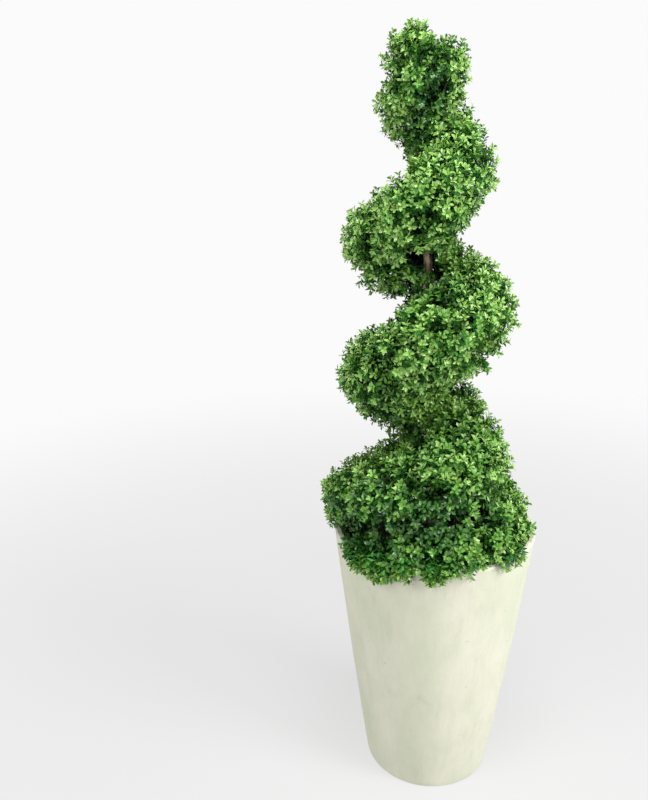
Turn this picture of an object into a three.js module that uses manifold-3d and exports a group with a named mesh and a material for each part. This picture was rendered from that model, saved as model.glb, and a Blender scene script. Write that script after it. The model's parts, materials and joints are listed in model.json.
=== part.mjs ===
// Spiral topiary in a round tapered planter: a small-leaved evergreen on one slim trunk, clipped so
// that its foliage winds up the trunk as a single rising coil, from a wide skirt that covers the
// planter's mouth to a small finial.
//
// Millimetres, +Z up. The origin is the centre of the planter's flat underside, on the floor. The
// front of the plant is its -Y side and its left is -X. The coil is right-handed: going up, it passes
// the left, the front, the right and the back of the trunk.

import * as THREE from "three";
import { mergeVertices } from "three/addons/utils/BufferGeometryUtils.js";
import Module from "manifold-3d";

const wasm = await Module();
wasm.setup();

// Driving dimensions.

const PLANTER = {
  height: 600,
  footRadius: 141.5,
  rimRadius: 220,
  belly: 2.5, // how far the side bows out from a straight taper at mid height
  wall: 14,
  floor: 20,
  footRound: 5,
  rimRound: 4,
  sides: 40,
};

const SOIL = {
  belowRim: 36,
};

const TRUNK = {
  tip: 1568, // height of the trunk's tip above the floor
  footRadius: 14,
  tipRadius: 5.5,
  flare: 7, // how much wider the root flare is than the trunk, at the soil
  flareHeight: 35,
  lean: 31, // the furthest that the trunk leans to the left
  leanWave: 0.62, // half waves of that lean between the foot and the tip
  sides: 12,
  rings: 14,
};

// The coil's section at stations along it. Turn 0 is at the left, above the skirt, and each whole turn
// is at the left again. middle is the height of the section's middle, reach is how far its outer edge
// is from the trunk's centre line, and half is half of its thickness.
const COIL = [
  { turn: -1, middle: 598, reach: 216, half: 62 },
  { turn: -0.75, middle: 620, reach: 235, half: 90 },
  { turn: -0.5, middle: 625, reach: 218, half: 86 },
  { turn: -0.25, middle: 640, reach: 225, half: 88 },
  { turn: 0, middle: 668, reach: 238, half: 96 },
  { turn: 0.25, middle: 735, reach: 202, half: 102 },
  { turn: 0.5, middle: 778, reach: 168, half: 100 },
  { turn: 0.75, middle: 848, reach: 177, half: 112 },
  { turn: 1, middle: 940, reach: 181, half: 104 },
  { turn: 1.25, middle: 1032, reach: 174, half: 98 },
  { turn: 1.5, middle: 1088, reach: 173, half: 92 },
  { turn: 1.75, middle: 1150, reach: 170, half: 100 },
  { turn: 2, middle: 1226, reach: 166, half: 88 },
  { turn: 2.25, middle: 1302, reach: 143, half: 90 },
  { turn: 2.5, middle: 1358, reach: 123, half: 94 },
  { turn: 3, middle: 1512, reach: 98, half: 88 },
  { turn: 3.25, middle: 1538, reach: 76, half: 68 },
  { turn: 3.6, middle: 1514, reach: 62, half: 70 },
];

const SECTION = {
  plump: 0.56, // the section's half width, as a share of its reach
  points: 16, // corners of a section
  steps: 6, // sections along a quarter turn
  capSteps: 3, // sections over the rounded end of the finial
  capLength: 0.7, // that end's length, as a share of the section's half thickness
  axisGap: 3, // the masses' inner edge, well inside the trunk that is then cut out
  lump: 0.035, // how uneven the clipped surface is, as a share of the section
  coreReach: 55, // how far out from the trunk the section starts to thicken towards it
  coreRise: 1.1, // how much thicker it is there, as a share of the ellipse's thickness
  coreFade: 0.3, // the part of a turn over which the core above the coil ends
};

const GAP = 0.4; // clearance between pieces that touch
const COIL_GAP = 0.8; // clearance between two turns of the coil, whose facets cross each other
const QUARTER = 0.25; // a foliage mass is a quarter turn long
const LOWEST_CLEAR_TURN = 0.5; // from this turn up, the coil is well above the planter
const TOUCHING = { first: 5, last: 2 }; // how many masses back along the coil the ones it lies on are

const BARK = { color: 0x7a5a44, roughness: 0.9, metalness: 0 };
const EARTH = { color: 0x3a2c22, roughness: 1, metalness: 0 };
const LIMEWASH = { color: 0xdcdcc8, roughness: 0.85, metalness: 0 };
const LEAF = { color: 0x3f7a2e, roughness: 0.6, metalness: 0 };

// Turns any closed mesh into a manifold solid, and back into a three.js geometry.

function solidOf(geometry) {
  const bare = geometry.clone();
  bare.deleteAttribute("normal");
  bare.deleteAttribute("uv");
  const merged = mergeVertices(bare, 1e-3);
  return new wasm.Manifold(
    new wasm.Mesh({
      numProp: 3,
      vertProperties: new Float32Array(merged.attributes.position.array),
      triVerts: new Uint32Array(merged.index.array),
    }),
  );
}

function geometryOf(solid) {
  const mesh = solid.getMesh();
  const geometry = new THREE.BufferGeometry();
  geometry.setAttribute("position", new THREE.BufferAttribute(mesh.vertProperties, 3));
  geometry.setIndex(new THREE.BufferAttribute(mesh.triVerts, 1));
  geometry.computeVertexNormals();
  return geometry;
}

// A closed body through a row of rings, each a loop of the same number of points. The first and last
// rings are closed by a fan around their middle. The rings run so that their faces point outwards.
function bodyThrough(rings) {
  const around = rings[0].length;
  const points = rings.flat();
  const faces = [];
  for (let i = 0; i + 1 < rings.length; i++) {
    for (let j = 0; j < around; j++) {
      const next = (j + 1) % around;
      const [a, b] = [i * around + j, i * around + next];
      const [c, d] = [a + around, b + around];
      faces.push(a, b, d, a, d, c);
    }
  }
  for (const [ring, start] of [
    [rings[0], 0],
    [rings.at(-1), (rings.length - 1) * around],
  ]) {
    const middle = new THREE.Vector3();
    ring.forEach((p) => middle.addScaledVector(p, 1 / around));
    const hub = points.push(middle) - 1;
    for (let j = 0; j < around; j++) {
      const [a, b] = [start + j, start + ((j + 1) % around)];
      faces.push(...(start === 0 ? [hub, b, a] : [hub, a, b]));
    }
  }
  const geometry = new THREE.BufferGeometry().setFromPoints(points);
  geometry.setIndex(faces);
  return geometry;
}

// Planter: a thick-walled tapered tub with a softly rounded rim and foot.

function planterRadius(z) {
  const share = z / PLANTER.height;
  const straight = THREE.MathUtils.lerp(PLANTER.footRadius, PLANTER.rimRadius, share);
  return straight + 4 * PLANTER.belly * share * (1 - share);
}

// A quarter round of a profile, from one angle to another, about a centre.
function roundEdge(radius, height, size, from, to, steps = 2) {
  return Array.from({ length: steps + 1 }, (_, i) => {
    const angle = THREE.MathUtils.lerp(from, to, i / steps);
    return new THREE.Vector2(radius + size * Math.cos(angle), height + size * Math.sin(angle));
  });
}

// Points up one side of the planter's wall, set in from its outer face by a depth.
function wallPoints(from, to, depth, steps = 4) {
  return Array.from({ length: steps + 1 }, (_, i) => {
    const z = THREE.MathUtils.lerp(from, to, i / steps);
    return new THREE.Vector2(planterRadius(z) - depth, z);
  });
}

function latheUp(profile) {
  return new THREE.LatheGeometry(profile, PLANTER.sides).rotateX(Math.PI / 2);
}

function planterGeometry(grow = 0) {
  const { height, wall, floor, footRound, rimRound } = PLANTER;
  const foot = planterRadius(footRound) - footRound;
  const outerRim = planterRadius(height - rimRound) - rimRound;
  const innerRim = outerRim + 2 * rimRound - wall;
  const profile = [
    new THREE.Vector2(0, -grow),
    ...roundEdge(foot, footRound, footRound + grow, -Math.PI / 2, 0),
    ...wallPoints(footRound * 4, height - rimRound * 4, -grow),
    ...roundEdge(outerRim, height - rimRound, rimRound + grow, 0, Math.PI / 2),
    ...roundEdge(innerRim, height - rimRound, rimRound + grow, Math.PI / 2, Math.PI),
    ...wallPoints(height - rimRound * 4, floor, wall + grow),
    new THREE.Vector2(0, floor + grow),
  ];
  return latheUp(profile);
}

// Soil: the fill of potting soil, from the planter's floor to a little under its rim.

const soilTop = PLANTER.height - SOIL.belowRim;

function soilGeometry() {
  const { floor, wall } = PLANTER;
  return latheUp([
    new THREE.Vector2(0, floor + GAP),
    ...wallPoints(floor + GAP, soilTop, wall + GAP),
    new THREE.Vector2(0, soilTop),
  ]);
}

// Trunk: one slim pole with a root flare, a slight bow to the left and a steady taper.

const trunkFoot = soilTop + GAP;

function trunkShare(z) {
  return (z - trunkFoot) / (TRUNK.tip - trunkFoot);
}

function trunkLean(z) {
  const share = THREE.MathUtils.clamp(trunkShare(z), 0, 1.1);
  return -TRUNK.lean * Math.sin(Math.PI * TRUNK.leanWave * share);
}

function trunkRadius(z) {
  const taper = THREE.MathUtils.lerp(TRUNK.footRadius, TRUNK.tipRadius, trunkShare(z));
  return taper + TRUNK.flare * Math.exp(-(z - trunkFoot) / TRUNK.flareHeight);
}

function trunkGeometry(grow = 0) {
  const rings = [];
  for (let i = 0; i < TRUNK.rings; i++) {
    // The rings are closer together at the flare.
    const share = Math.pow(i / (TRUNK.rings - 1), 1.5);
    const z = THREE.MathUtils.lerp(trunkFoot, TRUNK.tip, share);
    const end = i === 0 ? -grow : i === TRUNK.rings - 1 ? grow : 0;
    const radius = trunkRadius(z) + grow;
    rings.push(
      Array.from({ length: TRUNK.sides }, (_, j) => {
        const angle = (2 * Math.PI * j) / TRUNK.sides;
        return new THREE.Vector3(
          trunkLean(z) + radius * Math.cos(angle),
          radius * Math.sin(angle),
          z + end,
        );
      }),
    );
  }
  return bodyThrough(rings);
}

// Foliage: the coil, cut into quarter turns. Each mass is a plump wedge that grows out of the trunk.

const coilAt = new THREE.CubicInterpolant(
  COIL.map((s) => s.turn),
  COIL.flatMap((s) => [s.middle, s.reach, s.half]),
  3,
);

// The clipped surface's unevenness: slow waves along the coil and round its section, never repeating
// from one turn to the next. The result is a share of the section's size.
function lumpAt(turn, angle) {
  const along = 2 * Math.PI * turn;
  return (
    SECTION.lump *
    (0.5 * Math.sin(3.3 * along + 2 * angle) +
      0.3 * Math.sin(5.7 * along - 3 * angle + 1.3) +
      0.4 * Math.cos(1.9 * along + angle + 0.6))
  );
}

// Near the trunk a section is thicker than an ellipse, so that one turn of the coil meets the next
// there in a slim core of foliage. The last turn has none above it to meet, and the core ends with it.
function coreAt(turn, rho, above) {
  const near = THREE.MathUtils.clamp(1 - (rho - SECTION.axisGap) / SECTION.coreReach, 0, 1);
  const turnsLeft = COIL.at(-1).turn - turn - (above ? 1 : 0);
  const fade = THREE.MathUtils.clamp(turnsLeft / SECTION.coreFade, 0, 1);
  return 1 + SECTION.coreRise * near * fade;
}

// One loop of points across the coil at a turn. It can be moved along the coil, grown outwards, and
// shrunk towards its middle.
function sectionAt(turn, { along = 0, grow = 0, scale = 1 }) {
  const [middle, reach, half] = coilAt.evaluate(turn);
  const azimuth = Math.PI + 2 * Math.PI * turn;
  const halfWidth = SECTION.plump * reach;
  const centre = reach - halfWidth;
  return Array.from({ length: SECTION.points }, (_, j) => {
    const angle = (-2 * Math.PI * j) / SECTION.points;
    const size = scale * (1 + lumpAt(turn, angle));
    // Growing leaves the inner half where it is, as the section rises steeply there.
    const grown = size * halfWidth + (Math.cos(angle) > 0 ? grow : 0);
    const out = centre + grown * Math.cos(angle);
    const rho = Math.max(out, SECTION.axisGap);
    const core = coreAt(turn, rho, Math.sin(angle) > 0);
    const z = middle + (size * half + grow) * Math.sin(angle) * core;
    return new THREE.Vector3(
      trunkLean(z) + rho * Math.cos(azimuth) - along * Math.sin(azimuth),
      rho * Math.sin(azimuth) + along * Math.cos(azimuth),
      z,
    );
  });
}

// A mass between two turns. A grown one is what another mass has to keep clear of: it's the same rings,
// fattened, with one more beyond each end.
function massSolid({ from, to, rounded }, grow = 0) {
  const steps = Math.max(2, Math.round((SECTION.steps * (to - from)) / QUARTER));
  const rings = [];
  for (let i = 0; i <= steps; i++) {
    const along = i === 0 ? GAP / 2 : i === steps ? -GAP / 2 : 0;
    rings.push(sectionAt(from + ((to - from) * i) / steps, { along, grow }));
  }
  if (grow > 0) {
    rings.unshift(sectionAt(from, { along: GAP / 2 - grow, grow }));
    rings.push(sectionAt(to, { along: grow - GAP / 2, grow }));
  }
  if (rounded) {
    const [, , half] = coilAt.evaluate(to);
    for (let i = 1; i <= SECTION.capSteps; i++) {
      const angle = (Math.PI / 2) * (i / (SECTION.capSteps + 0.5));
      const along = SECTION.capLength * half * Math.sin(angle);
      rings.push(sectionAt(to, { along, scale: Math.cos(angle) }));
    }
  }
  return solidOf(bodyThrough(rings));
}

// The masses from the skirt's start, at the left, to the finial's rounded end. A mass is named after
// the quarter of the plant that it fills.
function massList() {
  const quarters = ["front_left", "front_right", "back_right", "back_left"];
  const parts = ["skirt", "coil_1", "coil_2", "coil_3", "finial"];
  const start = COIL[0].turn;
  const last = COIL.at(-1).turn;
  const count = Math.round((last - start) / QUARTER);
  return Array.from({ length: count }, (_, k) => ({
    name: `${parts[Math.floor(k / 4)]}_${quarters[k % 4]}`,
    from: start + k * QUARTER,
    to: k === count - 1 ? last : start + (k + 1) * QUARTER,
    rounded: k === count - 1,
  }));
}

function piece(name, geometry, look) {
  const mesh = new THREE.Mesh(geometry, new THREE.MeshStandardMaterial(look));
  mesh.name = name;
  return mesh;
}

const topiary = new THREE.Group();
topiary.name = "spiral_topiary";

const pot = new THREE.Group();
pot.name = "planter_and_soil";
pot.add(piece("planter", planterGeometry(), LIMEWASH));
pot.add(piece("soil", soilGeometry(), EARTH));
topiary.add(pot);

topiary.add(piece("trunk", trunkGeometry(), BARK));

// What every mass is cut round, grown by the clearance.
const trunkRoom = solidOf(trunkGeometry(GAP));
const planterRoom = solidOf(planterGeometry(GAP));
const soilRoom = solidOf(soilGeometry().translate(0, 0, GAP));

const crown = new THREE.Group();
crown.name = "crown";
const masses = massList();
masses.forEach((mass, k) => {
  let solid = massSolid(mass).subtract(trunkRoom);
  if (mass.from < LOWEST_CLEAR_TURN) solid = solid.subtract(planterRoom).subtract(soilRoom);
  // A mass keeps clear of those up to a turn below it, where the coil lies close. The one just before
  // it meets it face to face.
  for (const below of masses.slice(Math.max(0, k - TOUCHING.first), Math.max(0, k - TOUCHING.last + 1))) {
    solid = solid.subtract(massSolid(below, COIL_GAP));
  }
  crown.add(piece(mass.name, geometryOf(solid), LEAF));
});
topiary.add(crown);

export default topiary;
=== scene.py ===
# %% [markdown]
# # A spiral topiary in a tall planter
#
# This lesson builds a small-leaved evergreen that winds up a slim trunk, in a pale stone planter. The plant
# is grown by rule: seats are spread over the crown, limbs fork out of the trunk until they reach them, and
# a spray of leaves ends each stem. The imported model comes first, because every piece takes its place from it.

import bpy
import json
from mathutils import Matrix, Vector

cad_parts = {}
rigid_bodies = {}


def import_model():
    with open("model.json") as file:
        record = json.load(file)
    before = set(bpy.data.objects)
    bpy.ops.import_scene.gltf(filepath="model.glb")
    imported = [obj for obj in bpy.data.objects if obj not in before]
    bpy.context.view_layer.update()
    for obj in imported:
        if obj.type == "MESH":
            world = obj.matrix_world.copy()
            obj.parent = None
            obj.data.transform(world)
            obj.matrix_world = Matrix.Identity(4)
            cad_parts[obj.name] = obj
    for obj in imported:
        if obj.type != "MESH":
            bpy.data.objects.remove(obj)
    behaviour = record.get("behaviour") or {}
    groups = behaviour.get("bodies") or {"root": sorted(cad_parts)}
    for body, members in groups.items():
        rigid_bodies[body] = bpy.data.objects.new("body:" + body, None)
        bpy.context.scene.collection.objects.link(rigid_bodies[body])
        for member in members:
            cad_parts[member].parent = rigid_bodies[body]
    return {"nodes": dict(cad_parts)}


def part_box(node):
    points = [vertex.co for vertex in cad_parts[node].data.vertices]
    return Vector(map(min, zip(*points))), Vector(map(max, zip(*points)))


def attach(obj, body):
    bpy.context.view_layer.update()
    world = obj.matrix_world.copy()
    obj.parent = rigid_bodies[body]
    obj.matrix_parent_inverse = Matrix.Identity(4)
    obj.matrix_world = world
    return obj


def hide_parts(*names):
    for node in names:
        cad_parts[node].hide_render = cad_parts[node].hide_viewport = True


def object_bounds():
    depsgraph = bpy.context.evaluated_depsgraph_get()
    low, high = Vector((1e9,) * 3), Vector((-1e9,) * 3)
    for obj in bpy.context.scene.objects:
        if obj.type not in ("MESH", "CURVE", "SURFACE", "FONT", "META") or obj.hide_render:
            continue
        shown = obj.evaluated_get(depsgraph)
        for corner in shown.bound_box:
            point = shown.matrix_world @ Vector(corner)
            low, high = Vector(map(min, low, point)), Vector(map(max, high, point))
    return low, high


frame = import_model()
cad_box = [list(corner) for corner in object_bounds()]

import json
import math

import bpy
import numpy as np
from mathutils import Matrix, Vector, noise
from mathutils.bvhtree import BVHTree
from mathutils.kdtree import KDTree

SEED = 20
scene = bpy.context.scene
masses = sorted(name for name in frame["nodes"] if name not in ("planter", "soil", "trunk"))
print("foliage masses:", len(masses), "box:", cad_box)

# %% [markdown]
# ## The camera
#
# A tall thing seen from standing height leans away towards its foot. The camera stands 1.4 m up, 1.6 m in
# front and a little to the left of the plant, and looks down. The lens is fixed by the size of the planter's
# rim against its foot, and a slight roll is kept.

# %% The camera
EYE = Vector((-0.2401, -1.6131, 1.4206))
LOOK_DOWN = math.radians(18.24)
ROLL = -0.0122
LENS_MM = 36.24
SENSOR_MM = 36.0

camera = bpy.data.objects.new("camera", bpy.data.cameras.new("camera"))
camera.data.lens = LENS_MM
camera.data.sensor_width = SENSOR_MM
camera.matrix_world = (
    Matrix.Translation(EYE)
    @ Matrix.Rotation(math.pi / 2 - LOOK_DOWN, 4, "X")
    @ Matrix.Rotation(ROLL, 4, "Z")
)
scene.collection.objects.link(camera)
scene.camera = camera
scene.view_settings.view_transform = "Standard"

# %% [markdown]
# ## Helpers for materials and meshes
#
# Every material here is a Principled shader. Colours that stay the same all over are set on the shader
# itself. Patterns are made with noise on Object coordinates, which are real metres, so a pattern's scale
# can be thought of as its size on the object.

# %% Helpers for materials
def blank_material(name):
    """A new material, its node tree and its Principled shader."""
    material = bpy.data.materials.new(name)
    material.use_nodes = True
    return material, material.node_tree, material.node_tree.nodes["Principled BSDF"]


def plain_material(name, colour, roughness, gloss=0.5):
    """A Principled material with one colour, one roughness and one strength of gloss."""
    material, _, shader = blank_material(name)
    shader.inputs["Base Color"].default_value = (*colour, 1)
    shader.inputs["Roughness"].default_value = roughness
    shader.inputs["Specular IOR Level"].default_value = gloss
    return material


def add_node(tree, kind, sockets=None, **settings):
    """A node with its settings. A socket is given a value, or another node's output to link."""
    node = tree.nodes.new(kind)
    for key, value in settings.items():
        setattr(node, key, value)
    for socket, value in (sockets or {}).items():
        if isinstance(value, bpy.types.NodeSocket):
            tree.links.new(value, node.inputs[socket])
        else:
            node.inputs[socket].default_value = value
    return node


def pattern(tree, scale, stretch=(1, 1, 1), detail=3.0, roughness=0.5, distortion=0.0):
    """Noise on Object coordinates. A stretch above 1 along an axis draws the pattern out along it."""
    where = add_node(tree, "ShaderNodeTexCoord").outputs["Object"]
    squeezed = tuple(1 / s for s in stretch)
    mapped = add_node(tree, "ShaderNodeMapping", {"Vector": where, "Scale": squeezed})
    sockets = {"Vector": mapped.outputs["Vector"], "Scale": scale, "Detail": detail}
    sockets |= {"Roughness": roughness, "Distortion": distortion}
    return add_node(tree, "ShaderNodeTexNoise", sockets).outputs["Fac"]


def ramp(tree, value, stops):
    """Colours along a value from 0 to 1, each stop a place and a colour or a grey."""
    node = add_node(tree, "ShaderNodeValToRGB", {"Fac": value})
    elements = node.color_ramp.elements
    while len(elements) < len(stops):
        elements.new(0.5)
    for element, (place, colour) in zip(elements, stops):
        element.position = place
        element.color = (colour, colour, colour, 1) if isinstance(colour, float) else (*colour, 1)
    return node.outputs["Color"]


def blend_colours(tree, share, first, second):
    """Two colours, or a colour and a node's output, mixed by a share."""
    pair = [value if isinstance(value, bpy.types.NodeSocket) else (*value, 1) for value in (first, second)]
    return add_node(tree, "ShaderNodeMix", {0: share, 6: pair[0], 7: pair[1]}, data_type="RGBA").outputs[2]


def bump(tree, height, distance, strength=1.0, below=None):
    """A bump of that height in metres, on top of another bump if there is one."""
    sockets = {"Height": height, "Distance": distance, "Strength": strength}
    if below is not None:
        sockets["Normal"] = below
    return add_node(tree, "ShaderNodeBump", sockets).outputs["Normal"]


# %% Helpers for meshes
def mesh_object(name, verts, faces, material=None, smooth=True):
    """An object at the origin with that mesh, linked to the scene."""
    mesh = bpy.data.meshes.new(name)
    mesh.from_pydata([tuple(v) for v in verts], [], [tuple(f) for f in faces])
    mesh.polygons.foreach_set("use_smooth", [smooth] * len(mesh.polygons))
    mesh.update()
    made = bpy.data.objects.new(name, mesh)
    if material is not None:
        mesh.materials.append(material)
    scene.collection.objects.link(made)
    return made


def turned(rings):
    """Verts and faces of a closed skin over rings of equal length, each end a single point."""
    low, *middle, high = rings
    sides = len(middle[0])
    verts = [low, *(point for ring in middle for point in ring), high]
    faces = []
    for j in range(sides):
        after = (j + 1) % sides
        faces.append((0, 1 + after, 1 + j))
        for i in range(len(middle) - 1):
            a, b = 1 + i * sides, 1 + (i + 1) * sides
            faces.append((a + j, a + after, b + after, b + j))
        last = 1 + (len(middle) - 1) * sides
        faces.append((last + j, last + after, len(verts) - 1))
    return verts, faces


def triangles_of(obj):
    """How many triangles the object's mesh has."""
    return sum(len(polygon.vertices) - 2 for polygon in obj.data.polygons)


def keep_piece(piece, nodes):
    """Ties a finished piece to the frame."""
    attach(piece, "root")
    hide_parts(*nodes)
    print(piece.name, "triangles:", triangles_of(piece))


def angles_round(sides):
    """The angles of that many equal steps round a circle."""
    return [2 * math.pi * j / sides for j in range(sides)]


def heights_of(node):
    """The node's corners grouped by height: [(z, array of x and y)], from low to high."""
    corners = np.array([v.co for v in frame["nodes"][node].data.vertices])
    levels = {}
    for x, y, z in corners:
        levels.setdefault(round(float(z), 4), []).append((x, y))
    return [(z, np.array(levels[z])) for z in sorted(levels)]


# %% [markdown]
# ## The stage
#
# The plant stands on a pale floor that runs out into a white studio. The floor is one disc. Near the plant
# it takes light and shadow, and further out it fades into the same white as the world around it, so that no
# horizon shows from any side. The world looks white but lights the plant less, so that the gaps between
# leaves stay dark.

# %% The stage
WORLD_WHITE = 0.965
WORLD_LIGHT = 0.19
FLOOR_RADIUS = 30.0
FLOOR_GLOW = 0.66
FLOOR_GREY = 0.5
FLOOR_ROUGHNESS = 0.9
FLOOR_SIDES = 96
FADE_FROM = 0.5
FADE_TO = 3.2

world = bpy.data.worlds.new("studio")
world.use_nodes = True
seen = add_node(world.node_tree, "ShaderNodeLightPath").outputs["Is Camera Ray"]
sockets = {"Value": seen, "To Min": WORLD_LIGHT, "To Max": WORLD_WHITE}
strength = add_node(world.node_tree, "ShaderNodeMapRange", sockets)
background = world.node_tree.nodes["Background"]
background.inputs["Color"].default_value = (1, 1, 1, 1)
world.node_tree.links.new(strength.outputs["Result"], background.inputs["Strength"])
scene.world = world

floor_material, tree, shader = blank_material("studio_floor")
shader.inputs["Base Color"].default_value = (FLOOR_GREY, FLOOR_GREY, FLOOR_GREY, 1)
shader.inputs["Roughness"].default_value = FLOOR_ROUGHNESS
place = add_node(tree, "ShaderNodeTexCoord").outputs["Object"]
reach = add_node(tree, "ShaderNodeVectorMath", {0: place}, operation="LENGTH").outputs["Value"]
sockets = {"Value": reach, "From Min": FADE_FROM, "From Max": FADE_TO, "To Min": FLOOR_GLOW}
fade = add_node(tree, "ShaderNodeMapRange", sockets, interpolation_type="SMOOTHSTEP")
white = add_node(tree, "ShaderNodeEmission", {"Color": (1, 1, 1, 1), "Strength": WORLD_WHITE})
mixed = add_node(tree, "ShaderNodeMixShader", {0: fade.outputs["Result"]})
tree.links.new(shader.outputs["BSDF"], mixed.inputs[1])
tree.links.new(white.outputs["Emission"], mixed.inputs[2])
tree.links.new(mixed.outputs["Shader"], tree.nodes["Material Output"].inputs["Surface"])

floor_ring = [(FLOOR_RADIUS * math.cos(a), FLOOR_RADIUS * math.sin(a), 0) for a in angles_round(FLOOR_SIDES)]
floor = mesh_object("floor", floor_ring, [range(FLOOR_SIDES)], floor_material, smooth=False)

# %% The lights
LIGHTS = {
    "key": {"place": (2.5, -1.6, 2.3), "aim": (0, 0, 0.8), "size": 1.3, "watts": 106},
    "top": {"place": (0.0, -0.9, 3.6), "aim": (0, 0, 0.9), "size": 1.2, "watts": 70},
    "fill": {"place": (-2.3, -1.7, 2.6), "aim": (0, 0, 0.9), "size": 1.6, "watts": 46},
}
for name, facts in LIGHTS.items():
    lamp = bpy.data.lights.new(name, "AREA")
    lamp.shape = "SQUARE"
    lamp.size = facts["size"]
    lamp.energy = facts["watts"]
    light = bpy.data.objects.new(name, lamp)
    place, aim = Vector(facts["place"]), Vector(facts["aim"])
    turned_to = (aim - place).to_track_quat("-Z", "Y").to_matrix().to_4x4()
    light.matrix_world = Matrix.Translation(place) @ turned_to
    scene.collection.objects.link(light)
print("lights:", len(LIGHTS))

# %% [markdown]
# ## The planter
#
# The real planter is cast in a stone mix and rubbed down by hand. Its wall tapers to the foot with a slight
# belly. A lathe gives the shape: one profile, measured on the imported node, goes round in small steps. Each
# point is then moved a fraction of a millimetre by noise, so that highlights wander as on a hand-made wall.

# %% The planter's material
STONE_PALE = (0.778, 0.766, 0.63)
STONE_GREEN = (0.645, 0.69, 0.51)
STONE_SHADE = (0.53, 0.54, 0.41)
PIT = (0.50, 0.49, 0.39)


def stone_material():
    """Pale rubbed stone: cloudy blotches, smudges, faint upright brush marks, pits and short scratches."""
    material, tree, shader = blank_material("pale_stone")
    clouds = pattern(tree, 7.0, stretch=(1, 1, 2.6), detail=6, roughness=0.6)
    smudges = pattern(tree, 16.0, stretch=(1, 1, 1.8), detail=6, roughness=0.7, distortion=0.4)
    brushed = pattern(tree, 80, stretch=(1, 1, 8), detail=5, roughness=0.65)
    grain = pattern(tree, 420, detail=2)
    dents = pattern(tree, 55, stretch=(1, 1, 0.7), detail=3, roughness=0.55)
    scratches = pattern(tree, 34, stretch=(1, 1, 1.6), detail=3, roughness=0.6, distortion=1.6)
    colour = ramp(tree, clouds, [(0.32, STONE_GREEN), (0.62, STONE_PALE)])
    smudged = ramp(tree, smudges, [(0.26, 0.40), (0.40, 0.86), (0.56, 1.0)])
    colour = blend_colours(tree, smudged, STONE_SHADE, colour)
    marks = ramp(tree, brushed, [(0.28, 0.82), (0.54, 1.0)])
    colour = blend_colours(tree, marks, STONE_SHADE, colour)
    hollow = ramp(tree, dents, [(0.22, 0.0), (0.29, 1.0)])
    colour = blend_colours(tree, hollow, PIT, colour)
    tree.links.new(colour, shader.inputs["Base Color"])
    rough = add_node(tree, "ShaderNodeMapRange", {"Value": brushed, "To Min": 0.62, "To Max": 0.84})
    tree.links.new(rough.outputs["Result"], shader.inputs["Roughness"])
    lines = ramp(tree, scratches, [(0.478, 0.0), (0.5, 1.0), (0.522, 0.0)])
    scratched = ramp(tree, dents, [(0.50, 0.0), (0.60, 1.0)])
    lines = blend_colours(tree, scratched, (0, 0, 0), lines)
    relief = bump(tree, grain, 0.0003)
    relief = bump(tree, brushed, 0.0005, below=relief)
    relief = bump(tree, lines, 0.0008, strength=0.5, below=relief)
    relief = bump(tree, hollow, 0.0012, strength=0.6, below=relief)
    tree.links.new(relief, shader.inputs["Normal"])
    return material


# %% The planter's shape
PLANTER_SIDES = 320
WALL_STEPS = 130
WALL = 0.014
BASE = 0.020
RIM_ROUND = 0.004
FOOT_ROUND = 0.005
TROWEL = 0.0007
TROWEL_WAVES = 9
FINE_WAVES = 38
FINE_SHARE = 0.3

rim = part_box("planter")[1].z
levels = [(z, points) for z, points in heights_of("planter") if BASE < z < rim - BASE]
wall_fit = np.polyfit([z for z, _ in levels], [np.hypot(*points.T).max() for _, points in levels], 2)


def planter_radius(z):
    """The planter's outer radius at a height."""
    return float(np.polyval(wall_fit, z))


def corner_arc(radius, z, size, start, steps=5):
    """A quarter circle of the given size, from a start angle in quarter turns, as radius and height."""
    angles = [math.pi / 2 * (start + i / steps) for i in range(steps + 1)]
    return [(radius + size * math.cos(a), z + size * math.sin(a)) for a in angles]


def planter_profile():
    """Radius and height round the planter's section, from under its foot to the floor inside it."""
    foot = corner_arc(planter_radius(0) - FOOT_ROUND, FOOT_ROUND, FOOT_ROUND, 3)
    outside = np.linspace(2 * FOOT_ROUND, rim - 2 * RIM_ROUND, WALL_STEPS)
    lip_out = corner_arc(planter_radius(rim) - RIM_ROUND, rim - RIM_ROUND, RIM_ROUND, 0)
    lip_in = corner_arc(planter_radius(rim) - WALL + RIM_ROUND, rim - RIM_ROUND, RIM_ROUND, 1)
    inside = np.linspace(rim - 2 * RIM_ROUND, BASE, WALL_STEPS // 3)
    under = [(planter_radius(0) * share, 0) for share in (0.3, 0.6, 0.85)]
    wall = [(planter_radius(z), z) for z in outside]
    back = [(planter_radius(z) - WALL, z) for z in inside]
    floor_inside = [(back[-1][0] * share, BASE) for share in (0.7, 0.35)]
    return under + foot + wall + lip_out + lip_in + back + floor_inside


def hand_finish(point):
    """A small wander of the wall, in metres: broad trowel waves and a finer unevenness."""
    broad = noise.noise(Vector(point) * TROWEL_WAVES)
    fine = noise.noise(Vector(point) * FINE_WAVES)
    return TROWEL * (broad + FINE_SHARE * fine)


def planter_rings():
    """The planter's rings, with the hand-made wander left out of the flat underside."""
    rings = [(0, 0, 0)]
    for radius, z in planter_profile():
        ring = []
        for angle in angles_round(PLANTER_SIDES):
            c, s = math.cos(angle), math.sin(angle)
            wander = 0 if z < FOOT_ROUND / 2 else hand_finish((radius * c, radius * s, z))
            ring.append(((radius + wander) * c, (radius + wander) * s, z))
        rings.append(ring)
    return [*rings, (0, 0, BASE)]


planter = mesh_object("planter_cast", *turned(planter_rings()), stone_material())
keep_piece(planter, ["planter"])

# %% [markdown]
# ## The soil
#
# Potting soil fills the planter to a few centimetres below its rim. Little of it shows under the skirt of
# leaves. It is a closed plug, uneven on top and highest round the trunk. A bump gives it fine crumbs.

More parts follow.
